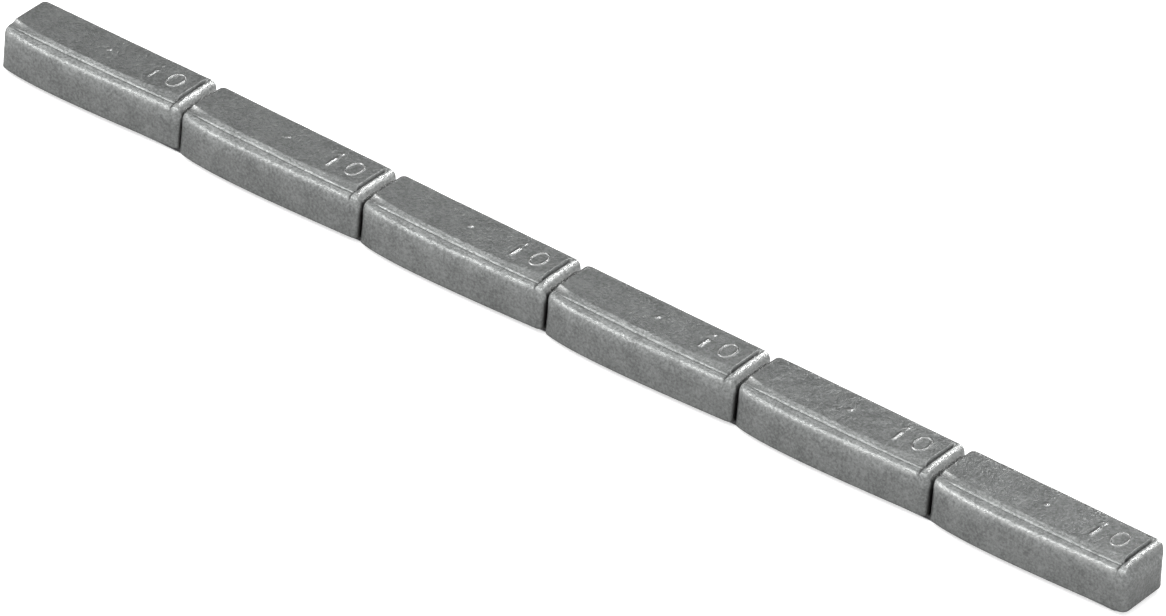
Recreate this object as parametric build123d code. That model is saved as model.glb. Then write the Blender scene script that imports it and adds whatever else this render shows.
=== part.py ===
from build123d import *
import os

# Adhesive wheel balance weight: small metal bars in a row on one strip of tape.
# Millimetres. +X runs along the row, +Y to the back, +Z up.
# The origin is under the middle of the row, on the face that the row lies on.

# The row
weight_count = 6
weight_length = 25.25
weight_gap = 0.15

# One bar, seen from above: straight at the back, bowed at the front, round at its corners.
# Two pull points shape the bow: how far along the bar each lies, as a share of its
# length, and how far it stands out, in bows.
weight_width = 7.3
foot_bow = 0.75
crown_bow = 0.56
left_pull = (0.15, 1.75)
right_pull = (0.60, 0.85)
left_front_radius = 0.7
right_front_radius = 1.1
right_back_radius = 1.5
left_back_radius = 0.9

# One bar, seen from its end: the front leans back from its foot to its crown
weight_height = 5.0
front_lean = 0.34
edge_radius = 0.45

# The number panel on top, the sloped facet in front of it and the ledge at its foot.
# The setbacks run from the front of the bar's ends, at the foot.
facet_drop = 0.32
crease_setback = 1.075
panel_setback_ends = 2.325
panel_setback_middle = 1.75
crease_width = 0.3
crease_depth = 0.1

# The rounded rim at the right end, and the groove between it and the panel
rim_radius = 1.3
groove_setback = 1.75
groove_width = 0.5
groove_depth = 0.33

# The small round pip on the panel: its place from the left end and behind the middle
pip_diameter = 0.5
pip_height = 0.12
pip_place = (11.65, 0.82)

# The tape under the bars and the film that covers its lower face
tape_thickness = 0.5
tape_inset = 0.7
liner_thickness = 0.08

# How each bar stands out of line: its turn in degrees and its shift to the back
bar_turns = (0.6, -0.4, -0.2, 0.1, 0.1, 0.1)
bar_shifts = (0.15, 0.01, -0.07, -0.09, 0.09, 0.21)

pitch = weight_length + weight_gap
row_length = weight_count * weight_length + (weight_count - 1) * weight_gap
bar_floor = liner_thickness + tape_thickness
row_middle_y = foot_bow / 2
front_y = -weight_width / 2
back_y = weight_width / 2
crease_y = front_y + crease_setback
crease_z = weight_height - facet_drop
groove_x = weight_length - groove_setback
overcut = weight_width


def bar_outline(bow, lean, z):
    """Outline of a bar at height z: straight back and ends, front bowed out by bow."""
    front = front_y + lean
    front_left = (0, front, z)
    front_right = (weight_length, front, z)
    bowed = Bezier(
        front_left,
        (left_pull[0] * weight_length, front - left_pull[1] * bow, z),
        (right_pull[0] * weight_length, front - right_pull[1] * bow, z),
        front_right,
    )
    rest = Polyline(front_right, (weight_length, back_y, z), (0, back_y, z), front_left)
    return Face(Wire([bowed] + list(rest.edges())))


def outside_corner(end_x, side_y, radius, slope=0, lean=0):
    """Space outside a rounded upright corner, whose side runs out by slope and leans back."""
    out_x = 1 if end_x > 0 else -1
    out_y = 1 if side_y > 0 else -1
    tilt = (1 + slope**2) ** 0.5
    middle = (end_x - out_x * radius, side_y + out_y * radius * (slope - tilt))
    meet_x = middle[0] + out_x * radius * slope / tilt
    meet_y = middle[1] + out_y * radius / tilt
    far_x = end_x + out_x * overcut
    far_y = side_y + out_y * overcut
    region = Polyline(
        middle,
        (meet_x, meet_y),
        (meet_x, far_y),
        (far_x, far_y),
        (far_x, middle[1]),
        close=True,
    )
    chip = Face(Wire(region.edges())) - Location((*middle, 0)) * Circle(radius)
    return extrude(chip, amount=2 * weight_height, dir=(0, lean, weight_height))


def in_front_of(line):
    """Flat region from a line along the bar out past its front."""
    start = line @ 0
    end = line @ 1
    reach = front_y - overcut
    rest = Polyline(end, (end.X, reach, end.Z), (start.X, reach, start.Z), start)
    return Face(Wire([line] + list(rest.edges())))


def before_panel():
    """Space before the panel: down its facet to the crease, then straight down."""
    crease_line = Line((0, crease_y, crease_z), (weight_length, crease_y, crease_z))
    panel_edge = ThreePointArc(
        (0, front_y + panel_setback_ends, weight_height),
        (weight_length / 2, front_y + panel_setback_middle, weight_height),
        (weight_length, front_y + panel_setback_ends, weight_height),
    )
    low = in_front_of(crease_line)
    high = in_front_of(panel_edge)
    above = extrude(high, amount=overcut, dir=(0, 0, 1))
    below = extrude(low, amount=overcut, dir=(0, 0, -1))
    return loft([low, high], ruled=True) + above + below


def outside_end(radius, height):
    """Space outside a rounding along the upper edge of the right end."""
    breadth = 3 * weight_width
    axis = Location((weight_length - radius, 0, height - radius))
    corner = Box(overcut, breadth, overcut, align=(Align.MIN, Align.CENTER, Align.MIN))
    roller = Cylinder(radius, 2 * breadth, rotation=(90, 0, 0))
    return (corner - roller).moved(axis)


def groove():
    """Round-bottomed groove across the bar, from the crease out past the back."""
    radius = (groove_width**2 / 4 + groove_depth**2) / (2 * groove_depth)
    middle = (groove_x, crease_y, weight_height - groove_depth + radius)
    across = Plane(origin=middle, x_dir=(1, 0, 0), z_dir=(0, 1, 0))
    return extrude(across * Circle(radius), amount=back_y + overcut - crease_y)


def crease():
    """V-shaped crease along the foot of the facet, from the left end to the groove."""
    half = crease_width / 2
    profile = Polyline(
        (-overcut, crease_y - half, crease_z),
        (-overcut, crease_y, crease_z - crease_depth),
        (-overcut, crease_y + half, crease_z),
        (-overcut, crease_y, crease_z + crease_width),
        close=True,
    )
    return extrude(Face(Wire(profile.edges())), amount=overcut + groove_x, dir=(1, 0, 0))


def pip():
    """Low round stub on the panel, with its foot sunk into the metal."""
    foot = Location((*pip_place, weight_height))
    return Cylinder(pip_diameter / 2, 2 * pip_height).moved(foot)


def long_edges(body):
    """Upper edges of the front and of the back."""
    upper = body.edges().filter_by(lambda edge: edge.bounding_box().min.Z > weight_height / 2)
    return upper.filter_by(lambda edge: edge.bounding_box().size.X > weight_length / 2)


def rounded_block(height):
    """Block of the given height, rounded along the top of its front, back and left end."""
    foot = bar_outline(foot_bow, 0, 0)
    crown = bar_outline(crown_bow, front_lean, weight_height)
    block = loft([foot, crown])
    if height < weight_height:
        above = Box(3 * weight_length, 3 * weight_width, overcut)
        block = block - above.moved(Location((0, 0, height + overcut / 2)))
    turned = Location((weight_length, 0, 0), (0, 0, 180))
    return fillet(long_edges(block), edge_radius) - outside_end(edge_radius, height).moved(turned)


def corners():
    """Spaces outside the four upright corners."""
    middle_bow = (foot_bow + crown_bow) / 2
    left_slope = middle_bow * left_pull[1] / (left_pull[0] * weight_length)
    right_slope = middle_bow * right_pull[1] / ((1 - right_pull[0]) * weight_length)
    return [
        outside_corner(0, front_y, left_front_radius, left_slope, front_lean),
        outside_corner(weight_length, front_y, right_front_radius, right_slope, front_lean),
        outside_corner(weight_length, back_y, right_back_radius),
        outside_corner(0, back_y, left_back_radius),
    ]


def bar():
    """One bar, with its left end at X = 0 and its underside at Z = 0."""
    body = rounded_block(crease_z) + (rounded_block(weight_height) - before_panel())
    body = body - corners() - outside_end(rim_radius, weight_height)
    return body - groove() - crease() + pip()



def bar_place(number):
    """Where a bar sits: its place in the row, with its own small turn and shift."""
    middle_x = number * pitch + (weight_length - row_length) / 2
    shift = bar_shifts[number % len(bar_shifts)]
    turn = bar_turns[number % len(bar_turns)]
    to_middle = Location((-weight_length / 2, 0, 0))
    return Location((middle_x, row_middle_y + shift, bar_floor), (0, 0, turn)) * to_middle


def strip(floor, thickness):
    """Flat strip under the whole row, set in from its edges, with its foot at floor."""
    size = (row_length - 2 * tape_inset, weight_width - 2 * tape_inset, thickness)
    return Box(*size).moved(Location((0, row_middle_y, floor + thickness / 2)))


os.makedirs("parts", exist_ok=True)
one_bar = bar()
for number in range(weight_count):
    export_step(one_bar.moved(bar_place(number)), f"parts/weight_{number + 1}.step")
export_step(strip(liner_thickness, tape_thickness), "parts/adhesive_tape.step")
export_step(strip(0, liner_thickness), "parts/release_liner.step")
print(f"bar {one_bar.volume:.1f} cubic mm, row {row_length:.1f} mm long")
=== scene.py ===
# %% [markdown]
# # A strip of cast balance weights
# A wheel balance weight of this kind is a row of small metal bars on one strip of
# sticky foam tape. The fitter cuts off as many bars as the wheel needs.
# The frame brings the measured solids in metres. Every piece made here is fitted to them,
# so the first step loads them.

# %% Load the measured frame
import math
import bpy
import numpy as np
from mathutils import Matrix, Vector


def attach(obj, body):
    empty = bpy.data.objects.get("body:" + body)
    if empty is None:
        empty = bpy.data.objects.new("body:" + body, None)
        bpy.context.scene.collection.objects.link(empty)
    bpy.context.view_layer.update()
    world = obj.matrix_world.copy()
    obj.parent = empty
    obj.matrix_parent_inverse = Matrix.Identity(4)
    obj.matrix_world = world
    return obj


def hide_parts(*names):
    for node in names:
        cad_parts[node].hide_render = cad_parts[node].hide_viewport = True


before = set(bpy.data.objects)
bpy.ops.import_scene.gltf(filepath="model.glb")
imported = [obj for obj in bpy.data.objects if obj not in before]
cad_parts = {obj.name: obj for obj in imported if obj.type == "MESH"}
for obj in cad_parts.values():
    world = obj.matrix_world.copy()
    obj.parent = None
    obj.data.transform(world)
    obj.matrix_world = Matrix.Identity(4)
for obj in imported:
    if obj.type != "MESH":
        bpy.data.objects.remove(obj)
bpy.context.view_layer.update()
MM = 0.001

# %% [markdown]
# ## The camera
# The photograph was taken with a long lens from well above the row, so that the far bars
# look nearly as large as the near ones. A camera could be placed by eye, but a measured
# one keeps every edge where the photograph has it: it stands on a line from a target
# point, given by two angles, with a small roll.

# %% Camera at the photograph's viewing angle
AIM_POINT = np.array([-0.258, 0.311, 0.58]) * MM
AZIMUTH = 37.599
ELEVATION = 34.616
ROLL = 2.375
DISTANCE = 1158.18 * MM
ASIDE = np.array([-2.167, -0.856]) * MM
FOCAL_PIXELS = 10980.1
PICTURE_WIDTH = 1166
SENSOR_WIDTH = 36.0


def camera_axes(azimuth, elevation, roll):
    """Right, up and forward of a camera that looks down at elevation, then rolls."""
    a, e, r = (math.radians(t) for t in (azimuth, elevation, roll))
    forward = np.array([-math.cos(e) * math.sin(a), math.cos(e) * math.cos(a), -math.sin(e)])
    level = np.array([math.cos(a), math.sin(a), 0.0])
    over = np.cross(level, forward)
    right = math.cos(r) * level + math.sin(r) * over
    up = math.cos(r) * over - math.sin(r) * level
    return right, up, forward


right, up, forward = camera_axes(AZIMUTH, ELEVATION, ROLL)
station = AIM_POINT - ASIDE[0] * right - ASIDE[1] * up - DISTANCE * forward
camera_data = bpy.data.cameras.new("camera")
camera_data.sensor_width = SENSOR_WIDTH
camera_data.lens = FOCAL_PIXELS * SENSOR_WIDTH / PICTURE_WIDTH
camera_data.clip_start = 0.01
camera_data.clip_end = 50.0
camera = bpy.data.objects.new("camera", camera_data)
turned = np.eye(4)
turned[:3, 0], turned[:3, 1], turned[:3, 2], turned[:3, 3] = right, up, -forward, station
camera.matrix_world = Matrix(turned.tolist())
bpy.context.scene.collection.objects.link(camera)
bpy.context.scene.camera = camera
bpy.context.scene.view_settings.view_transform = "Standard"
print("lens", round(camera_data.lens, 1), "mm, camera at", station.round(3))

# %% [markdown]
# ## Helpers for finishes
# Each finish is a small tree of nodes. Writing every link by hand hides what matters, so
# one helper adds a node with its settings, and another makes a noise that reads the
# piece's own coordinates, in which one unit is one metre.

# %% Node helpers
def new_finish(name):
    """A material with an empty tree, its shader and the object coordinates."""
    finish = bpy.data.materials.new(name)
    finish.use_nodes = True
    tree = finish.node_tree
    tree.nodes.clear()
    shader = tree.nodes.new("ShaderNodeBsdfPrincipled")
    output = tree.nodes.new("ShaderNodeOutputMaterial")
    tree.links.new(shader.outputs["BSDF"], output.inputs["Surface"])
    place = tree.nodes.new("ShaderNodeTexCoord")
    return finish, tree, shader, place.outputs["Object"]


def noise(tree, place, grain, detail=3.0, rough=0.55):
    """Noise whose blobs are about grain millimetres across."""
    node = tree.nodes.new("ShaderNodeTexNoise")
    node.inputs["Scale"].default_value = 1.0 / (grain * MM)
    node.inputs["Detail"].default_value = detail
    node.inputs["Roughness"].default_value = rough
    tree.links.new(place, node.inputs["Vector"])
    return node.outputs["Fac"]


def spread(tree, value, low, high, new_low, new_high):
    """Carries the range low to high over to new_low to new_high, and holds it there."""
    node = tree.nodes.new("ShaderNodeMapRange")
    node.clamp = True
    tree.links.new(value, node.inputs["Value"])
    names = ("From Min", "From Max", "To Min", "To Max")
    for name, number in zip(names, (low, high, new_low, new_high)):
        node.inputs[name].default_value = number
    return node.outputs["Result"]


def sums(tree, kind, first, second):
    """One sum of two values, where either may be a plain number."""
    node = tree.nodes.new("ShaderNodeMath")
    node.operation = kind
    for socket, value in zip(node.inputs, (first, second)):
        if isinstance(value, (int, float)):
            socket.default_value = value
        else:
            tree.links.new(value, socket)
    return node.outputs["Value"]


def shared(tree, first, share, second):
    """Two values as one: the first takes its share of 1 and the second takes the rest."""
    parts = [sums(tree, "MULTIPLY", v, s) for v, s in ((first, share), (second, 1 - share))]
    return sums(tree, "ADD", *parts)


def blended(tree, share, first, second):
    """Colour that goes from first to second as share goes from 0 to 1."""
    node = tree.nodes.new("ShaderNodeMix")
    node.data_type = "RGBA"
    tree.links.new(share, node.inputs["Factor"])
    for name, colour in (("A", first), ("B", second)):
        socket = [s for s in node.inputs if s.name == name and s.type == "RGBA"][0]
        if isinstance(colour, tuple):
            socket.default_value = (*colour, 1.0)
        else:
            tree.links.new(colour, socket)
    return [s for s in node.outputs if s.type == "RGBA"][0]


def dented(tree, shader, height, depth, strength=1.0):
    """Bump from a height of 0 to 1, where 1 stands depth millimetres proud."""
    node = tree.nodes.new("ShaderNodeBump")
    node.inputs["Distance"].default_value = depth * MM
    node.inputs["Strength"].default_value = strength
    tree.links.new(height, node.inputs["Height"])
    tree.links.new(node.outputs["Normal"], shader.inputs["Normal"])


def held(tree, name):
    """A number that the mesh itself holds at each vertex."""
    node = tree.nodes.new("ShaderNodeAttribute")
    node.attribute_name = name
    return node.outputs["Fac"]


print("helpers ready")

# %% [markdown]
# ## Cast lead
# The bars are die cast in hardened lead and then barrelled, which leaves a satin grey
# skin: fine grain, cloudy patches and polished high edges. A plain grey
# would look like plastic, so the colour, the roughness and the grain each follow a noise
# of their own. Two values held by the mesh say where it is rubbed and also painted lighter
# as a highlight, and where shade is painted darker into the groove, low walls and gaps.

# %% Finish of the bars
METAL_DARK = (0.148, 0.153, 0.151)
METAL_LIGHT = (0.310, 0.319, 0.315)
# Rubbed edges are polished, and lifted to this grey as a painted highlight.
METAL_RUBBED_HIGHLIGHT = (0.40, 0.405, 0.40)
# Painted shade: the groove, the lower walls and the gaps are darkened towards this grey.
METAL_PAINTED_SHADE = (0.085, 0.086, 0.084)
CLOUD_SIZE, GRAIN_SIZE, SPECK_SIZE = 2.2, 0.30, 0.14
CLOUD_SHARE = 0.30
LEAST_RUBBED_HIGHLIGHT = 0.55
ROUGH_DARK, ROUGH_LIGHT = 0.46, 0.36
POLISH = 0.18
GRAIN_SHARE = 0.7
GRAIN_DEPTH, GRAIN_STRENGTH = 0.10, 0.75


def cast_metal_finish():
    """Satin grey metal, from coarse clouds down to a grain of a fifth of a millimetre, with painted
    highlights and painted shade.
    """
    finish, tree, shader, place = new_finish("cast_metal")
    shader.inputs["Metallic"].default_value = 1.0
    clouds = noise(tree, place, CLOUD_SIZE, 4.0)
    grain = noise(tree, place, GRAIN_SIZE, 3.0, 0.65)
    specks = noise(tree, place, SPECK_SIZE, 2.0, 0.6)
    mottle = shared(tree, clouds, CLOUD_SHARE, grain)
    base = blended(tree, spread(tree, mottle, 0.36, 0.64, 0.0, 1.0), METAL_DARK, METAL_LIGHT)
    # Rubbed bands: real polish, and a painted highlight lifted into the colour.
    patchy = spread(tree, grain, 0.35, 0.6, LEAST_RUBBED_HIGHLIGHT, 1.0)
    rubbed_highlight = sums(tree, "MULTIPLY", held(tree, "rubbed_highlight"), patchy)
    worn = blended(tree, rubbed_highlight, base, METAL_RUBBED_HIGHLIGHT)
    # Painted shade: darker where the mesh holds shade in the groove, low walls and gaps.
    colour = blended(tree, held(tree, "painted_shade"), worn, METAL_PAINTED_SHADE)
    tree.links.new(colour, shader.inputs["Base Color"])
    satin = spread(tree, mottle, 0.35, 0.65, ROUGH_DARK, ROUGH_LIGHT)
    rough = sums(tree, "SUBTRACT", satin, sums(tree, "MULTIPLY", rubbed_highlight, POLISH))
    tree.links.new(rough, shader.inputs["Roughness"])
    dented(tree, shader, shared(tree, grain, GRAIN_SHARE, specks), GRAIN_DEPTH, GRAIN_STRENGTH)
    return finish


cast_metal = cast_metal_finish()
print("finish", cast_metal.name, len(cast_metal.node_tree.nodes), "nodes")

# %% [markdown]
# ## One bar as a height over its plan
# Seen from above, a bar is a long rounded rectangle with a bowed front. Everything on it
# (panel, facet, crease, groove, rim, pip and digits) is open to the top, because the
# casting has to leave its mould. So its upper side is one height for each point of the
# plan, and its walls hang down from the edge of that. The plan is a grid of lines across
# and along the bar, and the lines stand closer at the pip, the digits and the groove.

# %% Plan of a bar
COUNT, GAP = 6, 0.15
LENGTH = 25.25
WIDTH = 7.3
HEIGHT = 5.0
FRONT, BACK = -WIDTH / 2, WIDTH / 2
FOOT_BOW, CROWN_BOW = 0.75, 0.56
LEFT_PULL, RIGHT_PULL = (0.15, 1.75), (0.60, 0.85)
LEAN = 0.34
EDGE, BACK_EDGE, LEFT_EDGE = 0.45, 0.20, 0.20
SHOULDER, SHOULDER_DROP = 0.72, 1.25
RIM = 1.7
TOP_LEVEL = 0.75
CORNERS = {"front left": 0.7, "front right": 0.85, "back left": 0.6, "back right": 1.5}
FINE_END = 24.2
LINE_MARKS = (LEFT_EDGE, 72, 11.2, 14, 12.1, 38, 17.0, 76, 22.4, 14, 23.0, 44, FINE_END)


def bow_share(x):
    """How far the front stands out at x, in bows: a cubic curve with two pull points."""
    along = np.linspace(0.0, 1.0, 401)
    left, right_part = 3 * along * (1 - along) ** 2, 3 * along**2 * (1 - along)
    run = left * LEFT_PULL[0] + right_part * RIGHT_PULL[0] + along**3
    return np.interp(x / LENGTH, run, left * LEFT_PULL[1] + right_part * RIGHT_PULL[1])


def corner_cut(distance, radius):
    """How far a rounded corner draws the side in, at a distance from the bar's end."""
    inside = np.clip(radius - distance, 0.0, radius)
    return radius - np.sqrt(radius**2 - inside**2)


def both_cuts(x, side):
    """How far the two corners of one side, front or back, draw it in at x."""
    return corner_cut(x, CORNERS[f"{side} left"]) + corner_cut(LENGTH - x, CORNERS[f"{side} right"])


def plan_sides(x, level):
    """Bowed line, front and back of the plan at x: level is 0 at the foot, 1 at the crown."""
    bow = FOOT_BOW + (CROWN_BOW - FOOT_BOW) * level
    line = FRONT + LEAN * level - bow * bow_share(x)
    return line, line + both_cuts(x, "front"), BACK - both_cuts(x, "back")


def steps(*marks):
    """Places from mark to mark, each run cut into the number of steps given after it."""
    triples = zip(marks[0::2], marks[1::2], marks[2::2])
    runs = [np.linspace(a, b, count, endpoint=False) for a, count, b in triples]
    return np.concatenate([*runs, [marks[-1]]])


quarter = np.linspace(0.0, math.pi / 2, 15)
round_in = EDGE * (1 - np.cos(quarter))
shoulder_in = SHOULDER * (1 - np.cos(quarter))
rim_angles = np.linspace(math.asin((FINE_END - LENGTH + RIM) / RIM), math.pi / 2, 27)
across = np.concatenate([
    round_in[:-1] * LEFT_EDGE / EDGE,
    steps(*LINE_MARKS)[:-1],
    LENGTH - RIM + RIM * np.sin(rim_angles),
])
print(len(across), "lines across the bar")

# %% [markdown]
# ## Soft shapes
# A hard change of slope looks like cut card and not like cast metal. These few formulas
# take the place of hard ones: a step with a smooth S, a corner rounded between two
# heights, a bell for narrow lines, and distances to the outline and to a stroke.

# %% Soft steps and distances
def soft_step(value, low, high):
    """0 below low, 1 above high, and a smooth S between."""
    t = np.clip((value - low) / (high - low), 0.0, 1.0)
    return t * t * (3 - 2 * t)


def soft_lower(first, second, blend):
    """The lower of two heights, with their corner rounded over blend."""
    h = np.clip(0.5 + 0.5 * (second - first) / blend, 0.0, 1.0)
    return second + (first - second) * h - blend * h * (1 - h)


def bell(distance, width):
    """1 at no distance, about a third at the width, and nearly 0 from twice the width."""
    return np.exp(-((distance / width) ** 2))


def edge_distance(x, y, line):
    """Distance in from the plan's outline, round its corners too."""
    from_front, from_back = y - line, BACK - y
    from_left, from_right = x, LENGTH - x
    nearest = np.minimum(np.minimum(from_front, from_back), np.minimum(from_left, from_right))
    for name, side, end in (
        ("front left", from_front, from_left),
        ("front right", from_front, from_right),
        ("back left", from_back, from_left),
        ("back right", from_back, from_right),
    ):
        radius = CORNERS[name]
        a, b = radius - side, radius - end
        rounded = radius - np.hypot(np.maximum(a, 0), np.maximum(b, 0))
        nearest = np.where((a > 0) & (b > 0), np.minimum(nearest, rounded), nearest)
    return np.clip(nearest, 0.0, None)


def segment_distance(x, y, a, b):
    """Distance from points to the straight stroke from a to b."""
    ax, ay, bx, by = *a, *b
    t = ((x - ax) * (bx - ax) + (y - ay) * (by - ay)) / ((bx - ax) ** 2 + (by - ay) ** 2)
    t = np.clip(t, 0.0, 1.0)
    return np.hypot(x - ax - t * (bx - ax), y - ay - t * (by - ay))


print("soft step at a quarter, a half and three quarters", soft_step(np.array([0.25, 0.5, 0.75]), 0, 1))

# %% [markdown]
# ## Digits
# The digits stand raised, because they are cut into the mould, and each is a ridge along
# its stroke. Barrelling has worn the upper half of the 1 nearly away. A font would bring
# sharp outlines, so a straight stroke, a short flag and an ellipse are enough.

# %% Raised digits
DIGIT_Y, ONE_X, ZERO_X = 0.92, 18.2, 21.0
ONE_HALF = 1.3
FLAG_START = (-0.5, 0.75)
ZERO_WIDE, ZERO_TALL = 0.83, 1.27
STROKE_FLAT, ONE_STROKE, ZERO_STROKE = 0.02, 0.30, 0.18
ONE_WORN, ONE_WORN_RUN = 0.9, (0.15, 0.4)
FLAG_KEPT, FLAG_RUN = 0.6, (0.8, 1.2)
TINY = 1e-9


def digit_height(x, y, heights):
    """Raised 1 and 0: a smooth ridge along each stroke, as high as heights says."""
    top = (ONE_X, DIGIT_Y + ONE_HALF)
    one = np.minimum(
        segment_distance(x, y, (ONE_X, DIGIT_Y - ONE_HALF), top),
        segment_distance(x, y, (ONE_X + FLAG_START[0], DIGIT_Y + FLAG_START[1]), top),
    )
    up = y - DIGIT_Y
    worn = ONE_WORN * soft_step(up, *ONE_WORN_RUN) * (1 - FLAG_KEPT * soft_step(up, *FLAG_RUN))
    u, v = (x - ZERO_X) / ZERO_WIDE, up / ZERO_TALL
    radius = np.hypot(u, v) + TINY
    slope = np.hypot(u / ZERO_WIDE, v / ZERO_TALL) / radius
    zero = np.abs(radius - 1) / np.maximum(slope, TINY)
    one_ridge = heights[0] * (1 - soft_step(one, STROKE_FLAT, ONE_STROKE)) * (1 - worn)
    return one_ridge + heights[1] * (1 - soft_step(zero, STROKE_FLAT, ZERO_STROKE))


stroke_middle = digit_height(np.array([ONE_X]), np.array([DIGIT_Y - 0.5]), (0.1, 0.1))
print("ridge on the stroke of the 1", stroke_middle.round(3), "mm")

# %% [markdown]
# ## Heights
# The panel lies at the full height. In front of it a facet slopes down to a crease, and
# from there a narrow ledge runs out to the rounded shoulder. At the right end a groove
# cuts across, and behind it the rim is one large rounding. Each of these is one formula
# here. Cutting them out of a block would leave hard edges that have to be softened again.

# %% Height of the top
CREASE_Y, PANEL_Y = FRONT + 1.09, FRONT + 1.73
SWING_MIDDLE, SWING_REACH, CREASE_SWING = 11.0, 12.2, 0.25
CREASE_DROP = 0.295
LEDGE_SLOPE = 0.37
PANEL_CORNER, RIM_CORNER = 0.03, 0.05
HOLLOWED, HOLLOWED_RUN = 1.8, (0.3, 2.6)
RIM_KEEPS, RIM_KEEPS_RUN = 0.6, (-0.1, 0.25)
CREASE_WIDE, CREASE_DEEP = 0.085, 0.062
CREASE_LEFT, CREASE_RUN = 0.45, (0.3, 3.0)
LIP_BACK, LIP_WIDE, LIP_HIGH = 0.2, 0.09, 0.007
GROOVE_X = LENGTH - 1.75
GROOVE_DEPTH = 0.36
GROOVE_FRONT_RUN, GROOVE_BACK_RUN = (-0.1, 0.75), (-0.85, -0.3)
GROOVE_LEFT, GROOVE_NARROWED, GROOVE_NARROW_RUN = -0.34, 0.26, (0.3, 1.4)
GROOVE_FALL, GROOVE_RISE_RUN = 0.38, (0.07, 0.27)
PIP, PIP_RADIUS, PIP_HEIGHT, PIP_FULLNESS = (11.65, 0.82), 0.36, 0.085, 0.6


def swing_back(x):
    """0 near the bar's middle and near 1 at its ends: a cube of the distance from it."""
    return np.abs((x - SWING_MIDDLE) / SWING_REACH) ** 3


def crease_line(x):
    """Where the crease runs: nearly straight, and a little further back at the ends."""
    return CREASE_Y + CREASE_SWING * swing_back(x)


def panel_line(x):
    """Where the panel begins: well further back at the ends, so that the facet widens."""
    return PANEL_Y + swing_back(x)


def faces_height(x, y):
    """Panel, facet and ledge, with the crease cut in and a low lip behind it."""
    crease = crease_line(x)
    slope = (y - crease) / (panel_line(x) - crease)
    hollowed = 1 + HOLLOWED * (1 - soft_step(x, *HOLLOWED_RUN))
    slope = np.where(slope > 0, np.clip(slope, 0, None) ** hollowed, slope)
    before_groove = 1 - soft_step(x - GROOVE_X, *RIM_KEEPS_RUN)
    fall = CREASE_DROP * (1 - RIM_KEEPS * (1 - before_groove))
    facet = HEIGHT - fall * (1 - slope)
    ledge = HEIGHT - fall - LEDGE_SLOPE * np.clip(crease - y, 0.0, None)
    z = soft_lower(facet, np.full_like(x, HEIGHT), PANEL_CORNER)
    z = np.where(y < crease, ledge, z)
    cut = before_groove * (CREASE_LEFT + (1 - CREASE_LEFT) * soft_step(x, *CREASE_RUN))
    valley = bell(y - crease, CREASE_WIDE) * CREASE_DEEP * cut
    lip = bell(y - crease - LIP_BACK, LIP_WIDE) * LIP_HIGH * cut
    return z - valley + lip


def groove_depth(x, y):
    """Depth of the groove: it is narrower in front and fades out before the back."""
    behind = y - crease_line(x)
    run = soft_step(behind, *GROOVE_FRONT_RUN) * (1 - soft_step(y - BACK, *GROOVE_BACK_RUN))
    left = GROOVE_LEFT + GROOVE_NARROWED * (1 - soft_step(behind, *GROOVE_NARROW_RUN))
    aside = x - GROOVE_X
    dip = soft_step(aside, left, left + GROOVE_FALL) * (1 - soft_step(aside, *GROOVE_RISE_RUN))
    return GROOVE_DEPTH * dip * run


def edge_fall(x, y, line):
    """Fall of the rounded edge: a quarter circle, and along the front a taller quarter ellipse."""
    inside = edge_distance(x, y, line)
    edge = EDGE + (BACK_EDGE - EDGE) * soft_step(y, 1.0, 2.5)
    edge = LEFT_EDGE + (edge - LEFT_EDGE) * soft_step(x, 0.3, 1.2)
    front_share = soft_step(-y, 1.0, 2.5) * soft_step(x - 0.4 * (y + 3.0), -0.2, 0.7)
    wide = edge + (SHOULDER - edge) * front_share
    drop = edge + (SHOULDER_DROP - edge) * front_share
    return drop * (1 - np.sqrt(1 - (np.clip(wide - inside, 0.0, wide) / wide) ** 2))


def pip_height(x, y):
    """Height of the round pip: a dome that is full in its middle and steep at its foot."""
    dome = np.clip(1 - ((x - PIP[0]) ** 2 + (y - PIP[1]) ** 2) / PIP_RADIUS**2, 0.0, None)
    return PIP_HEIGHT * dome**PIP_FULLNESS


def top_height(x, y, line, heights):
    """Height of the bar's upper side at points of its plan: the lower of the top and the rim."""
    z = faces_height(x, y) - groove_depth(x, y)
    z = z + digit_height(x, y, heights) + pip_height(x, y) - edge_fall(x, y, line)
    past = np.clip(x - (LENGTH - RIM), 0.0, RIM)
    rim = HEIGHT - RIM + np.sqrt(RIM**2 - past**2)
    return np.where(past > 0, soft_lower(z, rim, RIM_CORNER), z)


test_line = plan_sides(across, TOP_LEVEL)[0]
middle_heights = top_height(across, 0 * across, test_line, (0.09, 0.09))
print("height along the middle", middle_heights.round(2)[::24])

# %% [markdown]
# ## Uneven metal
# No cast bar is quite flat. The mould's faces wave a little, the barrel dents the shoulders,
# and each bar differs. A modifier could shake every vertex, but that looks like noise, so
# sine waves of five lengths bend the faces, and a few small dents are pressed in at
# seeded places.

# %% Waves and dents
WAVES = ((9.0, 0.012), (4.0, 0.008), (1.9, 0.005), (1.0, 0.0035), (0.6, 0.0025))
WAVES_EACH, WAVES_SHARE = 3, 1.7
DENT_COUNT, DENTS_IN_FRONT = 16, 0.75
DENT_X, DENT_SIZE = (0.5, 22.5), (0.12, 0.32)
FRONT_DENT_Y, FRONT_DENT_Z, FRONT_DENT_DEPTH = (-0.3, 0.6), (1.0, 4.6), (0.015, 0.05)
PANEL_DENT_Y, PANEL_DENT_DEPTH = (-1.0, 3.0), (0.005, 0.015)


def waves(points, seed):
    """Sum of sine waves through space, about one hundredth of a millimetre high."""
    draw = np.random.default_rng(seed)
    total = np.zeros(len(points))
    for wavelength, height in WAVES:
        for _ in range(WAVES_EACH):
            direction = draw.normal(size=3)
            direction /= np.linalg.norm(direction)
            phase = draw.uniform(0, 2 * math.pi)
            along = points @ direction * 2 * math.pi / wavelength
            total += height / WAVES_SHARE * np.sin(along + phase)
    return total


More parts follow.
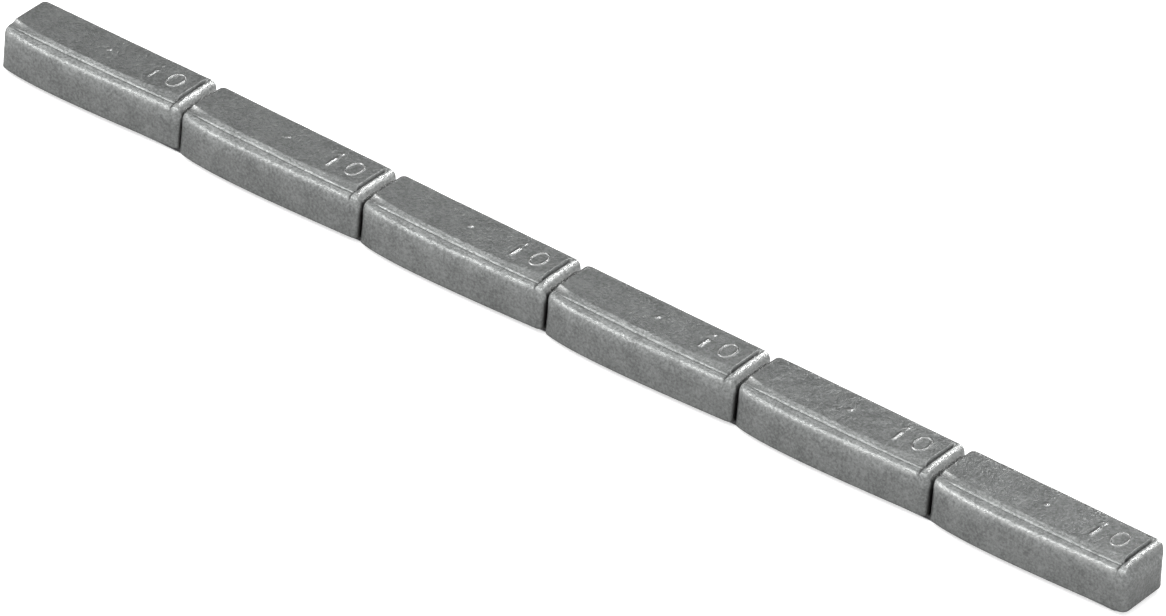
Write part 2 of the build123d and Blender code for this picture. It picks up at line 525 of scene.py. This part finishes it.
def dents(points, seed):
    """Round dents on the shoulder, the wall below it and the panel, as depths to press in."""
    draw = np.random.default_rng(seed)
    total = np.zeros(len(points))
    for _ in range(DENT_COUNT):
        x = draw.uniform(*DENT_X)
        front = draw.random() < DENTS_IN_FRONT
        y = FRONT + draw.uniform(*FRONT_DENT_Y) if front else draw.uniform(*PANEL_DENT_Y)
        z = draw.uniform(*FRONT_DENT_Z) if front else HEIGHT
        size = draw.uniform(*DENT_SIZE)
        depth = draw.uniform(*(FRONT_DENT_DEPTH if front else PANEL_DENT_DEPTH))
        total += depth * bell(np.linalg.norm(points - (x, y, z), axis=1), size)
    return total


print("waves at the origin", waves(np.zeros((1, 3)), 1).round(4))

# %% [markdown]
# ## From plan to closed mesh
# The grid's edge is a closed ring. The wall repeats that ring on its way down and ends in
# a small rounding at the foot, and the underside joins each front vertex to the one behind
# it, so the mesh has no hole. All of it is whole arrays: the only lists are the faces.

# %% Mesh of one bar
WALL_ROWS, FOOT_ROWS, FOOT_LEVEL = 22, 6, 0.05
FOOT_ROUND = 0.14
CREASE_ROWS_FROM, CREASE_ROWS_RUN = 0.16, 0.42
PANEL_MARKS = (0.0, 8, 0.12, 10, 0.30, 56, 0.86, 8, 1.0)
WAVE_SET_IN = 0.02
DRAW_IN = 0.012
FOOT_FADE, RING_FADE = 0.35, 0.15
DENT_SEED = 100


def lines_along(x):
    """Rows of the plan from front to back: first by share, then fitted between the sides."""
    line, front, back = plan_sides(x, TOP_LEVEL)
    near = crease_line(x) - CREASE_ROWS_FROM
    far = near + CREASE_ROWS_RUN
    rows = [line + d for d in shoulder_in[:-1]]
    rows += [line + SHOULDER + (near - line - SHOULDER) * t for t in steps(0.0, 4, 1.0)[:-1]]
    rows += [near + CREASE_ROWS_RUN * t for t in steps(0.0, 14, 1.0)[:-1]]
    rows += [far + (BACK - EDGE - far) * t for t in steps(*PANEL_MARKS)[:-1]]
    rows += [BACK - d + 0 * x for d in round_in[::-1]]
    rows = np.array(rows).T
    share = (rows - line[:, None]) / (BACK - line)[:, None]
    return line, front[:, None] + share * (back - front)[:, None]


def edge_ring(grid):
    """The grid's outer vertices in order: along the front, up the right end, back, and down."""
    return np.concatenate([grid[:, 0], grid[-1, 1:], grid[-2::-1, -1], grid[0, -2:0:-1]])


def outward_of(ring):
    """Level directions straight out from each point of a closed ring."""
    tangent = np.roll(ring, -1, 0)[:, :2] - np.roll(ring, 1, 0)[:, :2]
    tangent /= np.linalg.norm(tangent, axis=1, keepdims=True)
    return np.stack([tangent[:, 1], -tangent[:, 0]], -1)


def foot_of(y):
    """Where each point of the plan's edge stands at the foot, as the front leans back."""
    _, front_foot, back_foot = plan_sides(across, 0.0)
    _, front_top, back_top = plan_sides(across, TOP_LEVEL)
    share = (y - front_top[:, None]) / (back_top - front_top)[:, None]
    return edge_ring(front_foot[:, None] + share * (back_foot - front_foot)[:, None])


def wall_rows(edge, foot_y, outward):
    """Copies of the edge on its way down: evenly spaced, then close where the foot rounds in."""
    even = np.linspace(1, FOOT_LEVEL, WALL_ROWS)[1:]
    close = FOOT_LEVEL * (1 - np.sin(np.linspace(0, math.pi / 2, FOOT_ROWS)[1:]))
    rows = []
    for level in np.concatenate([even, close]):
        down = edge[:, 2] * level
        low = np.clip(FOOT_ROUND - down, 0, FOOT_ROUND)
        inset = FOOT_ROUND - np.sqrt(FOOT_ROUND**2 - low**2)
        row = np.stack([edge[:, 0], foot_y + (edge[:, 1] - foot_y) * level, down], -1)
        rows.append(row - outward * inset[:, None])
    return rows


def closed_faces(index, ring, row_count):
    """Faces of the top, of the wall's rows and of the underside, all turned outwards."""
    a, b = index[:-1, :-1].ravel(), index[1:, :-1].ravel()
    quads = [np.stack([a, b, b + 1, a + 1], -1)]
    above = ring
    for row in range(row_count):
        below = index.size + row * len(ring) + np.arange(len(ring))
        quads.append(np.stack([above, below, np.roll(below, -1), np.roll(above, -1)], -1))
        above = below
    lines, rows = index.shape
    front_row = above[:lines]
    back_row = above[lines + rows - 2:][:lines][::-1]
    quads.append(np.stack([front_row[1:-2], back_row[1:-2], back_row[2:-1], front_row[2:-1]], -1))
    right_cap = np.concatenate([front_row[-2:], above[lines:lines + rows - 2], back_row[:-3:-1]])
    left_cap = np.concatenate([back_row[1::-1], above[2 * lines + rows - 2:], front_row[:2]])
    return np.concatenate(quads).tolist() + [right_cap[::-1].tolist(), left_cap[::-1].tolist()]


def bar_mesh(digit_heights):
    """Vertices in mm, faces, and the top edge's outward directions, ring and vertex count."""
    line, y = lines_along(across)
    x = np.broadcast_to(across[:, None], y.shape)
    z = top_height(x, y, np.broadcast_to(line[:, None], y.shape), digit_heights)
    top = np.stack([x, y, z], -1).reshape(-1, 3)
    index = np.arange(len(top)).reshape(y.shape)
    ring = edge_ring(index)
    edge = top[ring]
    outward = np.hstack([outward_of(edge), np.zeros((len(ring), 1))])
    wall = wall_rows(edge, foot_of(y), outward)
    faces = closed_faces(index, ring, len(wall))
    return np.concatenate([top, *wall]), faces, outward, ring, len(top)


def shaken(points, outward, ring, top_count, number):
    """The same vertices with the bar's own waves and dents, pressed down or inwards."""
    push = np.minimum(waves(points, number) - WAVE_SET_IN, 0.0) - dents(points, DENT_SEED + number)
    moved = points.copy()
    moved[:top_count, 2] += push[:top_count]
    rows = (len(points) - top_count) // len(ring)
    height = points[top_count:, 2]
    level = height / np.tile(points[ring, 2], rows)
    fade = soft_step(height, 0.0, FOOT_FADE) * soft_step(1 - level, 0.0, RING_FADE)
    moved[top_count:] += np.tile(outward, (rows, 1)) * (push[top_count:] * fade)[:, None]
    moved[:, 0] += DRAW_IN * (1 - 2 * points[:, 0] / LENGTH)
    moved[:, 1] -= DRAW_IN * points[:, 1] / BACK
    return moved


print("wall rows", WALL_ROWS, "foot rounding", FOOT_ROUND, "mm")

# %% [markdown]
# ## Rubbed edges, painted highlights and painted shade
# Handling polishes what stands proud: the shoulder, the rim, the digits, and the facet's
# left end. These bands, a corner of the facet and the upper ends beside a neighbour are
# also painted lighter as highlights. Shade is painted darker in the groove, low on the
# walls and between two bars. Both are worked out from each vertex's place and kept in the
# mesh, so they follow the shape.

# %% Where a bar is rubbed and painted lighter, and where shade is painted darker
# Per bar, how strongly the shoulder is polished and painted lighter as a highlight.
SHOULDER_WEAR_HIGHLIGHT = (0.6, 0.5, 0.45, 0.55, 0.7, 1.0)
SHOULDER_CREST, SHOULDER_THIN, SHOULDER_BROAD = 0.30, 0.1, 0.15
# Where the rim's polish and painted highlight lie.
RIM_CREST, RIM_LEFT_WIDE, RIM_RIGHT_WIDE = 0.58, 0.22, 0.42
RAISED_FULL = 0.06
# A painted highlight at the facet's left front corner.
CORNER_HIGHLIGHT_PLACE, CORNER_HIGHLIGHT_WIDE = (0.45, -1.40), 0.3
# Painted shade: darker in the groove, low on the walls, at the foot and between two bars.
GROOVE_SHADE_HALF = 0.27
GROOVE_SHADE, LOW_WALL_SHADE, FOOT_SHADE, GAP_SHADE = 0.65, 0.30, 0.3, 0.8
GAP_SHADE_RUNS = (0.02, 0.3), (-0.4, -0.03)
# Painted highlight that lifts the upper ends beside a neighbour out of their shade.
GAP_HIGHLIGHT_RUNS = (0.15, 0.5), (-0.65, -0.35)


def beside_neighbour(x, number, left_run, right_run):
    """1 at each end of the bar that has a neighbour, fading away over the end's run."""
    left = 1 - soft_step(x, *left_run) if number > 0 else 0.0
    right = soft_step(x - LENGTH, *right_run) if number < COUNT - 1 else 0.0
    return left + right


def rubbed_highlight_share(points, number):
    """Share of 0 to 1: high edges that rubbing has polished, with painted highlights on them and beside
    neighbours.
    """
    x, y, z = points.T
    line = plan_sides(x, TOP_LEVEL)[0]
    inside = np.minimum(np.clip(y - line, 0.0, None), np.clip(BACK - y, 0.0, None))
    # Shoulder band: polish and a painted highlight, stronger on some bars.
    wear_highlight = SHOULDER_WEAR_HIGHLIGHT[number] * (1 - 0.8 * soft_step(x, 22.8, 23.8))
    shoulder = wear_highlight * bell(inside - SHOULDER_CREST, SHOULDER_THIN + SHOULDER_BROAD * wear_highlight)
    shoulder = shoulder * soft_step(z, 4.2 - 0.5 * wear_highlight, 4.3)
    # Rim crest: polish and a painted highlight.
    off_crest = x - GROOVE_X - RIM_CREST
    rim = bell(off_crest, np.where(off_crest < 0, RIM_LEFT_WIDE, RIM_RIGHT_WIDE))
    rim = rim * soft_step(z, 4.2, 4.5) * soft_step(y, -3.1, -2.1)
    raised = np.clip(z - HEIGHT, 0.0, RAISED_FULL) / RAISED_FULL
    crease, panel = crease_line(x), panel_line(x)
    # Painted highlight that lightens the facet's left end.
    facet_highlight = soft_step(y - crease, 0.05, 0.3) * (1 - soft_step(y - panel, -0.1, 0.08))
    facet_highlight = facet_highlight * (1 - soft_step(x, 0.7, 2.0)) * soft_step(z, 4.4, 4.6)
    # Painted highlight at the facet's left front corner.
    corner_highlight = bell(np.hypot(x - CORNER_HIGHLIGHT_PLACE[0], y - CORNER_HIGHLIGHT_PLACE[1]), CORNER_HIGHLIGHT_WIDE)
    corner_highlight = corner_highlight * soft_step(z, 4.7, 4.9)
    # Painted highlight that lightens the upper ends beside a neighbour.
    gap_highlight = beside_neighbour(x, number, *GAP_HIGHLIGHT_RUNS) * soft_step(z, 3.9, 4.3) * soft_step(y, -2.8, -2.0)
    polish_and_highlight = 0.75 * shoulder + 0.8 * rim + 0.9 * raised + 0.65 * facet_highlight + 0.9 * corner_highlight + gap_highlight
    return np.clip(polish_and_highlight, 0, 1)


def painted_shade_share(points, number):
    """Share of 0 to 1: painted shade in the groove, low on the walls and in the gaps."""
    x, _, z = points.T
    # Painted shade in the groove.
    groove = np.clip(1 - ((x - GROOVE_X) / GROOVE_SHADE_HALF) ** 2, 0, 1)
    groove = groove * soft_step(4.97 - z, 0.0, 0.2) * soft_step(z, 4.2, 4.5)
    # Painted shade: darker towards the bottom of the walls and at the foot.
    low = (1 - soft_step(z, 2.4, 4.4)) * LOW_WALL_SHADE + (1 - soft_step(z, 0.0, 0.35)) * FOOT_SHADE
    # Painted shade between two bars.
    between = beside_neighbour(x, number, *GAP_SHADE_RUNS) * (1 - soft_step(z, 3.2, 4.3))
    return np.clip(GROOVE_SHADE * groove + low + GAP_SHADE * between, 0, 1)


# Per bar, the strength of the shoulder's polish and painted highlight.
print("shoulder wear of the", COUNT, "bars", SHOULDER_WEAR_HIGHLIGHT)

# %% [markdown]
# ## Six bars in a row
# Every bar comes out of the same mould, but each lies a little out of line on the tape, as
# in the photograph. The places are the solids' own, so a bar stands exactly where its
# solid does, and takes its place.

# %% Place the bars
FLOOR = 0.58
MIDDLE_Y = FOOT_BOW / 2
TURNS = (0.6, -0.4, -0.2, 0.1, 0.1, 0.1)
SHIFTS = (0.15, 0.01, -0.07, -0.09, 0.09, 0.21)
ONE_HEIGHTS = (0.055, 0.105, 0.10, 0.112, 0.112, 0.112)
ZERO_HEIGHTS = (0.10, 0.112, 0.112, 0.112, 0.11, 0.105)
ROW_LENGTH = COUNT * LENGTH + (COUNT - 1) * GAP


def new_piece(name, points, faces, finish, slot):
    """Object at the origin with its place in its mesh, riding on the one body."""
    mesh = bpy.data.meshes.new(name)
    mesh.from_pydata((points * MM).tolist(), [], faces)
    mesh.polygons.foreach_set("use_smooth", [True] * len(mesh.polygons))
    mesh.materials.append(finish)
    mesh.update()
    piece = bpy.data.objects.new(name, mesh)
    bpy.context.scene.collection.objects.link(piece)
    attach(piece, "root")
    return piece


def keep_number(piece, name, values):
    """Stores one number for each vertex in the mesh, where a finish can read it."""
    attribute = piece.data.attributes.new(name, "FLOAT", "POINT")
    attribute.data.foreach_set("value", values.astype(np.float32))


def placed(points, number):
    """Vertices turned about the bar's middle and moved to the bar's place in the row."""
    angle = math.radians(TURNS[number])
    x, y, z = points[:, 0] - LENGTH / 2, points[:, 1], points[:, 2]
    turned_x = x * math.cos(angle) - y * math.sin(angle)
    turned_y = x * math.sin(angle) + y * math.cos(angle)
    middle_x = number * (LENGTH + GAP) + (LENGTH - ROW_LENGTH) / 2
    return np.stack([turned_x, turned_y, z], -1) + (middle_x, MIDDLE_Y + SHIFTS[number], FLOOR)


for number in range(COUNT):
    points, faces, *edge = bar_mesh((ONE_HEIGHTS[number], ZERO_HEIGHTS[number]))
    rubbed_highlight, painted_shade = rubbed_highlight_share(points, number), painted_shade_share(points, number)
    points = placed(shaken(points, *edge, number), number)
    piece = new_piece(f"cast_bar_{number + 1}", points, faces, cast_metal, "cast_metal")
    # Each vertex keeps its polish with painted highlight, and its painted shade.
    keep_number(piece, "rubbed_highlight", rubbed_highlight)
    keep_number(piece, "painted_shade", painted_shade)
    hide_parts(f"weight_{number + 1}")
print("bars", COUNT, "with", len(piece.data.vertices), "vertices and", len(piece.data.polygons), "faces each")

# %% [markdown]
# ## Foam tape and release film
# Under the bars lies a black acrylic foam tape, and a pale film covers its lower face until
# it is stuck down. Flat colours would make both look like paint, so the foam gets open
# cells, and the film a faint silky streak along its length.

# %% Finishes of the tape and the film
FOAM_DARK, FOAM_LIGHT = (0.028, 0.028, 0.030), (0.075, 0.075, 0.078)
FOAM_ROUGH, CELL_SIZE, CELL_DEPTH = 0.9, 0.12, 0.06
FILM_DARK, FILM_LIGHT = (0.64, 0.65, 0.66), (0.76, 0.77, 0.78)
FILM_ROUGH_LOW, FILM_ROUGH_HIGH = 0.28, 0.42
STREAK_SIZE, STREAK_STRETCH, STREAK_SHARE, STREAK_DEPTH = 0.35, (0.05, 1.0, 1.0), 0.6, 0.01
FILM_CLOUD_SIZE = 6.0


def foam_finish():
    """Nearly black foam with cells about a tenth of a millimetre across."""
    finish, tree, shader, place = new_finish("foam_tape")
    shader.inputs["Roughness"].default_value = FOAM_ROUGH
    cells = tree.nodes.new("ShaderNodeTexVoronoi")
    cells.inputs["Scale"].default_value = 1.0 / (CELL_SIZE * MM)
    tree.links.new(place, cells.inputs["Vector"])
    shade = spread(tree, cells.outputs["Distance"], 0.0, 0.7, 0.0, 1.0)
    tree.links.new(blended(tree, shade, FOAM_DARK, FOAM_LIGHT), shader.inputs["Base Color"])
    dented(tree, shader, cells.outputs["Distance"], CELL_DEPTH, 0.8)
    return finish


def film_finish():
    """Pale smooth film, a little cloudy, with a silky sheen from rolling."""
    finish, tree, shader, place = new_finish("release_film")
    stretched = tree.nodes.new("ShaderNodeMapping")
    stretched.inputs["Scale"].default_value = STREAK_STRETCH
    tree.links.new(place, stretched.inputs["Vector"])
    streaks = noise(tree, stretched.outputs["Vector"], STREAK_SIZE, 3.0)
    clouds = noise(tree, place, FILM_CLOUD_SIZE, 3.0)
    shade = spread(tree, shared(tree, streaks, STREAK_SHARE, clouds), 0.35, 0.65, 0.0, 1.0)
    tree.links.new(blended(tree, shade, FILM_DARK, FILM_LIGHT), shader.inputs["Base Color"])
    rough = spread(tree, streaks, 0.3, 0.7, FILM_ROUGH_LOW, FILM_ROUGH_HIGH)
    tree.links.new(rough, shader.inputs["Roughness"])
    dented(tree, shader, streaks, STREAK_DEPTH, 0.4)
    return finish


print("foam and film finishes ready")

# %% [markdown]
# ## Cut strips
# Tape and film are cut from a roll, so their corners are a little round and the soft foam
# draws in between its two faces. One ring of points around the strip, repeated from the
# lower face to the upper, shows all of that, and a face over each end ring closes it.

# %% Meshes of the tape and the film
INSET = 0.7
STRIP_X, STRIP_Y = ROW_LENGTH / 2 - INSET, WIDTH / 2 - INSET
STRIP_ROUND = 1.3
STRIP_STEP = 0.5
STRIP_SEED = 60
FILM_THICK = 0.08
FOAM_HOLLOW, FOAM_WAVY = 0.05, 0.02


def strip_ring():
    """Ring around the strip, seen from above: its four round corners, and even steps between."""
    turn = np.linspace(0.0, math.pi / 2, 13)
    arcs = [
        np.stack([
            sx * (STRIP_X - STRIP_ROUND) + STRIP_ROUND * np.cos(turn + q * math.pi / 2),
            sy * (STRIP_Y - STRIP_ROUND) + STRIP_ROUND * np.sin(turn + q * math.pi / 2),
        ], -1)
        for q, (sx, sy) in enumerate(((1, 1), (-1, 1), (-1, -1), (1, -1)))
    ]
    loop = np.concatenate([*arcs, arcs[0][:1]])
    run = np.concatenate([[0.0], np.cumsum(np.linalg.norm(np.diff(loop, axis=0), axis=1))])
    places = np.union1d(run, np.arange(0.0, run[-1], STRIP_STEP))[:-1]
    return np.stack([np.interp(places, run, loop[:, 0]), np.interp(places, run, loop[:, 1])], -1)


def strip_mesh(low, high, rows, hollow_side, wavy):
    """Closed strip from low to high, drawn in halfway up by hollow_side."""
    ring = strip_ring()
    outward = outward_of(ring)
    count = len(ring)
    layers = []
    for share in np.linspace(0.0, 1.0, rows):
        level = np.full((count, 1), low + (high - low) * share)
        inward = hollow_side * math.sin(math.pi * share) + wavy
        uneven = waves(np.hstack([ring, level]), STRIP_SEED) * (wavy > 0)
        shift = np.minimum(uneven - inward, 0.0)
        layers.append(np.hstack([ring + outward * shift[:, None], level]))
    points = np.concatenate(layers) + (0.0, MIDDLE_Y, 0.0)
    start = np.arange(count)
    quads = []
    for row in range(rows - 1):
        below, above = start + row * count, start + (row + 1) * count
        quads.append(np.stack([below, np.roll(below, -1), np.roll(above, -1), above], -1))
    caps = [start[::-1].tolist(), (start + (rows - 1) * count).tolist()]
    return points, np.concatenate(quads).tolist() + caps


tape_mesh = strip_mesh(FILM_THICK, FLOOR, 9, FOAM_HOLLOW, FOAM_WAVY)
tape = new_piece("foam_strip", *tape_mesh, foam_finish(), "foam_tape")
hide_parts("adhesive_tape")
film = new_piece("film_strip", *strip_mesh(0.0, FILM_THICK, 3, 0.0, 0.0), film_finish(), "liner_film")
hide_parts("release_liner")
print("tape", len(tape.data.vertices), "vertices, film", len(film.data.vertices), "vertices")

# %% [markdown]
# ## White floor
# The photograph shows the strip on plain white. A white floor turns grey wherever lamps are
# soft, so this one glows a little where the camera sees it, and still keeps the strip's
# shadow. More light would have whitened it too, but then the metal would be too bright.

# %% Floor
FLOOR_SIZE = 6.0
FLOOR_DARK, FLOOR_LIGHT = (0.80, 0.80, 0.80), (0.82, 0.82, 0.82)
FLOOR_PATCH = 400.0
FLOOR_GLOW = 0.55
WHITE = (1.0, 1.0, 1.0, 1.0)


def white_floor_finish():
    """Matt white that adds a glow of its own, for camera and transmitted rays only."""
    finish, tree, shader, place = new_finish("white_floor")
    shader.inputs["Roughness"].default_value = 1.0
    shader.inputs["Specular IOR Level"].default_value = 0.0
    patches = noise(tree, place, FLOOR_PATCH, 2.0)
    tree.links.new(blended(tree, patches, FLOOR_DARK, FLOOR_LIGHT), shader.inputs["Base Color"])
    path = tree.nodes.new("ShaderNodeLightPath")
    seen = sums(tree, "MAXIMUM", path.outputs["Is Camera Ray"], path.outputs["Is Transmission Ray"])
    shader.inputs["Emission Color"].default_value = WHITE
    tree.links.new(sums(tree, "MULTIPLY", seen, FLOOR_GLOW), shader.inputs["Emission Strength"])
    return finish


floor_mesh = bpy.data.meshes.new("floor")
half = FLOOR_SIZE / 2
floor_corners = [(-half, -half, 0), (half, -half, 0), (half, half, 0), (-half, half, 0)]
floor_mesh.from_pydata(floor_corners, [], [(0, 1, 2, 3)])
floor_mesh.materials.append(white_floor_finish())
floor = bpy.data.objects.new("floor", floor_mesh)
bpy.context.scene.collection.objects.link(floor)
print("floor", FLOOR_SIZE, "m wide")

# %% [markdown]
# ## Lamps and sky
# Metal shows what it mirrors. Two soft boxes stand where the highlights say: one at the
# left front draws the line on each shoulder, and one behind draws the bright rims. The one
# behind stands far off, because from nearby it would light one end of the row more than
# the other. The sky is dim at the back, which is what the grey tops mirror.

# %% Soft boxes and studio sky
DIM_SIDE = (-0.4, 1.0, 0.0)
DIM_FULL, DIM_NONE = 0.80, 0.52
SKY_LOW, SKY_HIGH = 0.24, 1.14


def soft_box(name, direction, distance, size, glow):
    """Square lamp that faces the strip: glow is how bright its face looks."""
    lamp = bpy.data.lights.new(name, "AREA")
    lamp.shape = "SQUARE"
    lamp.size = size
    lamp.energy = glow * math.pi * size**2
    holder = bpy.data.objects.new(name, lamp)
    toward = Vector(direction).normalized()
    holder.location = toward * distance
    holder.rotation_mode = "QUATERNION"
    holder.rotation_quaternion = (-toward).to_track_quat("-Z", "Y")
    bpy.context.scene.collection.objects.link(holder)
    return lamp


def studio_sky(low, high):
    """White where the camera sees it, and else a dome: low towards the dim side, high elsewhere."""
    world = bpy.data.worlds.new("studio")
    world.use_nodes = True
    tree = world.node_tree
    tree.nodes.clear()
    place = tree.nodes.new("ShaderNodeTexCoord")
    toward = tree.nodes.new("ShaderNodeVectorMath")
    toward.operation = "DOT_PRODUCT"
    toward.inputs[1].default_value = DIM_SIDE
    tree.links.new(place.outputs["Generated"], toward.inputs[0])
    level = spread(tree, toward.outputs["Value"], DIM_FULL, DIM_NONE, low, high)
    path = tree.nodes.new("ShaderNodeLightPath")
    dome = tree.nodes.new("ShaderNodeBackground")
    dome.inputs["Color"].default_value = WHITE
    tree.links.new(level, dome.inputs["Strength"])
    white = tree.nodes.new("ShaderNodeBackground")
    white.inputs["Color"].default_value = WHITE
    choice = tree.nodes.new("ShaderNodeMixShader")
    tree.links.new(path.outputs["Is Camera Ray"], choice.inputs["Fac"])
    tree.links.new(dome.outputs["Background"], choice.inputs[1])
    tree.links.new(white.outputs["Background"], choice.inputs[2])
    output = tree.nodes.new("ShaderNodeOutputWorld")
    tree.links.new(choice.outputs["Shader"], output.inputs["Surface"])
    bpy.context.scene.world = world


shoulder_lamp = soft_box("shoulder_lamp", (-0.50, -0.39, 0.765), distance=1.2, size=0.56, glow=5.2)
rim_lamp = soft_box("rim_lamp", (-0.10, 0.652, 0.75), distance=6.0, size=1.1, glow=22.0)
studio_sky(SKY_LOW, SKY_HIGH)
print("lamps", shoulder_lamp.energy, rim_lamp.energy)
